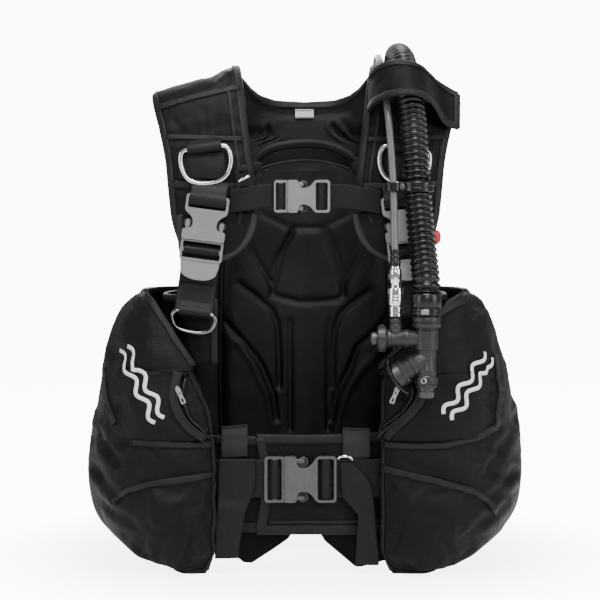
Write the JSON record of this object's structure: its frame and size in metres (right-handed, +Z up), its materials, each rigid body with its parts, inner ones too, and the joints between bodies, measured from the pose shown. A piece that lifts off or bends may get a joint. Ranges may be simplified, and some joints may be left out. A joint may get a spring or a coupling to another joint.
{
  "type": "buoyancy compensator vest",
  "caption": "Jacket-style diving buoyancy vest with air lobes, padded back, shoulder and waist buckles, breathing hose with inflator, and tank band.",
  "frame": {"origin": "bottom centre of the object's box, on the floor the vest stands on", "axes": "+Z up, the vest's front faces -Y, the wearer's left side is +X"},
  "size_m": [0.5526, 0.4929, 0.6764],
  "materials": {
    "shell": "black woven nylon, coated",
    "pad": "black brushed pad cloth, moulded",
    "label": "white woven label, blank",
    "plate": "black moulded plate",
    "buckle": "grey acetal, fine matt grain",
    "webbing": "black polyester webbing",
    "binding": "black binding tape on the edges and seams",
    "steel": "polished stainless wire",
    "rubber": "black ribbed rubber",
    "black_plastic": "black moulded plastic",
    "chrome": "chromed brass",
    "hose_jacket": "light grey hose jacket",
    "red": "red bead, white cord above it"
  },
  "bodies": {
    "vest": {"back_panel": "shell", "back_pad": "pad", "neck_label": "label", "backpack_plate": "plate", "right_shoulder_yoke": "shell", "left_shoulder_yoke": "shell", "right_front_panel": "shell", "left_front_panel": "shell", "right_cummerbund": "shell", "left_cummerbund": "shell", "waist_buckle_socket": "buckle", "chest_buckle_socket": "buckle", "right_shoulder_buckle_socket": "buckle", "left_shoulder_buckle_socket": "buckle", "waist_strap_right": "webbing", "waist_strap_left": "webbing", "waist_tail_right": "webbing", "waist_tail_left": "webbing", "chest_strap_right": "webbing", "chest_strap_left": "webbing", "right_strap_loop": "webbing", "left_strap_loop": "webbing", "right_lower_web": "webbing", "left_lower_web": "webbing", "corrugated_hose": "rubber", "hose_elbow": "black_plastic", "inflator_body": "black_plastic", "mouthpiece": "rubber", "qd_coupling": "chrome", "lp_hose": "hose_jacket", "lp_hose_fitting": "steel", "hose_clip": "black_plastic", "hose_tie": "steel", "hose_wrap": "webbing", "dump_valve": "black_plastic", "tank_band": "webbing", "cam_buckle_frame": "black_plastic"},
    "right_lobe": {"right_lobe": "shell", "right_pocket": "shell", "right_pocket_flap": "shell"},
    "left_lobe": {"left_lobe": "shell", "left_pocket": "shell", "left_pocket_flap": "shell"},
    "waist_plug": {"waist_buckle_plug": "buckle"},
    "chest_plug": {"chest_buckle_plug": "buckle"},
    "right_shoulder_plug": {"right_shoulder_buckle_plug": "buckle"},
    "left_shoulder_plug": {"left_shoulder_buckle_plug": "buckle"},
    "right_shoulder_dring": {"right_shoulder_dring": "steel"},
    "left_shoulder_dring": {"left_shoulder_dring": "steel"},
    "right_lower_dring": {"right_lower_dring": "steel"},
    "left_lower_dring": {"left_lower_dring": "steel"},
    "inflate_button": {"inflate_button": "black_plastic"},
    "deflate_button": {"deflate_button": "black_plastic"},
    "qd_collar": {"qd_collar": "chrome"},
    "dump_pull": {"dump_pull": "red"},
    "cam_lever": {"cam_lever": "black_plastic"},
    "carry_handle": {"carry_handle": "webbing"},
    "right_zip_pull": {"right_zip_pull": "steel"},
    "left_zip_pull": {"left_zip_pull": "steel"}
  },
  "joints": [
    {"name": "right_lobe_swing", "type": "hinge", "parent": "vest", "child": "right_lobe", "pos_m": [-0.151, 0.0205, 0.15], "axis": [0, 0, -1], "range_deg": [0, 35]},
    {"name": "left_lobe_swing", "type": "hinge", "parent": "vest", "child": "left_lobe", "pos_m": [0.151, 0.0205, 0.15], "axis": [0, 0, 1], "range_deg": [0, 35]},
    {"name": "waist_buckle_release", "type": "slide", "parent": "vest", "child": "waist_plug", "axis": [-1, 0, 0], "range_m": [0, 0.03]},
    {"name": "chest_buckle_release", "type": "slide", "parent": "vest", "child": "chest_plug", "axis": [-1, 0, 0], "range_m": [0, 0.024]},
    {"name": "right_shoulder_buckle_release", "type": "slide", "parent": "vest", "child": "right_shoulder_plug", "axis": [-0.1301, 0, -0.9915], "range_m": [0, 0.028]},
    {"name": "left_shoulder_buckle_release", "type": "slide", "parent": "vest", "child": "left_shoulder_plug", "axis": [0.1301, 0, -0.9915], "range_m": [0, 0.028]},
    {"name": "right_shoulder_dring_swing", "type": "hinge", "parent": "vest", "child": "right_shoulder_dring", "pos_m": [-0.127, -0.149, 0.536], "axis": [-0.9925, 0, -0.1219], "range_deg": [0, 100]},
    {"name": "left_shoulder_dring_swing", "type": "hinge", "parent": "vest", "child": "left_shoulder_dring", "pos_m": [0.127, -0.149, 0.536], "axis": [-0.9925, 0, 0.1219], "range_deg": [0, 16]},
    {"name": "right_lower_dring_swing", "type": "hinge", "parent": "vest", "child": "right_lower_dring", "pos_m": [-0.139, -0.162, 0.329], "axis": [-0.9903, 0, 0.1392], "range_deg": [0, 80]},
    {"name": "left_lower_dring_swing", "type": "hinge", "parent": "vest", "child": "left_lower_dring", "pos_m": [0.139, -0.162, 0.329], "axis": [-0.9903, 0, -0.1392], "range_deg": [0, 80]},
    {"name": "inflate_press", "type": "slide", "parent": "vest", "child": "inflate_button", "axis": [1, 0, 0], "range_m": [0, 0.0035], "stiffness_N_per_m": 1200, "springref_m": -0.002},
    {"name": "deflate_press", "type": "slide", "parent": "vest", "child": "deflate_button", "axis": [0, 0, 1], "range_m": [0, 0.004], "stiffness_N_per_m": 1200, "springref_m": -0.002},
    {"name": "qd_collar_pull", "type": "slide", "parent": "vest", "child": "qd_collar", "axis": [0, 0, 1], "range_m": [0, 0.0035], "stiffness_N_per_m": 1500, "springref_m": -0.002},
    {"name": "dump_pull_slide", "type": "slide", "parent": "vest", "child": "dump_pull", "axis": [0, 0, -1], "range_m": [0, 0.01], "stiffness_N_per_m": 400, "springref_m": -0.003},
    {"name": "cam_lever_open", "type": "hinge", "parent": "vest", "child": "cam_lever", "pos_m": [-0.02291, 0.23925, 0.262], "axis": [0, 0, -1], "range_deg": [0, 100]},
    {"name": "carry_handle_swing", "type": "hinge", "parent": "vest", "child": "carry_handle", "pos_m": [0.002, 0.0025, 0.52], "axis": [1, 0, 0], "range_deg": [0, 30]},
    {"name": "right_zip_pull_swing", "type": "hinge", "parent": "right_lobe", "child": "right_zip_pull", "pos_m": [-0.15515, -0.2061, 0.2315], "axis": [0, -1, 0], "range_deg": [-35, 35]},
    {"name": "left_zip_pull_swing", "type": "hinge", "parent": "left_lobe", "child": "left_zip_pull", "pos_m": [0.11186, -0.20218, 0.2315], "axis": [0, -1, 0], "range_deg": [-35, 35]}
  ]
}
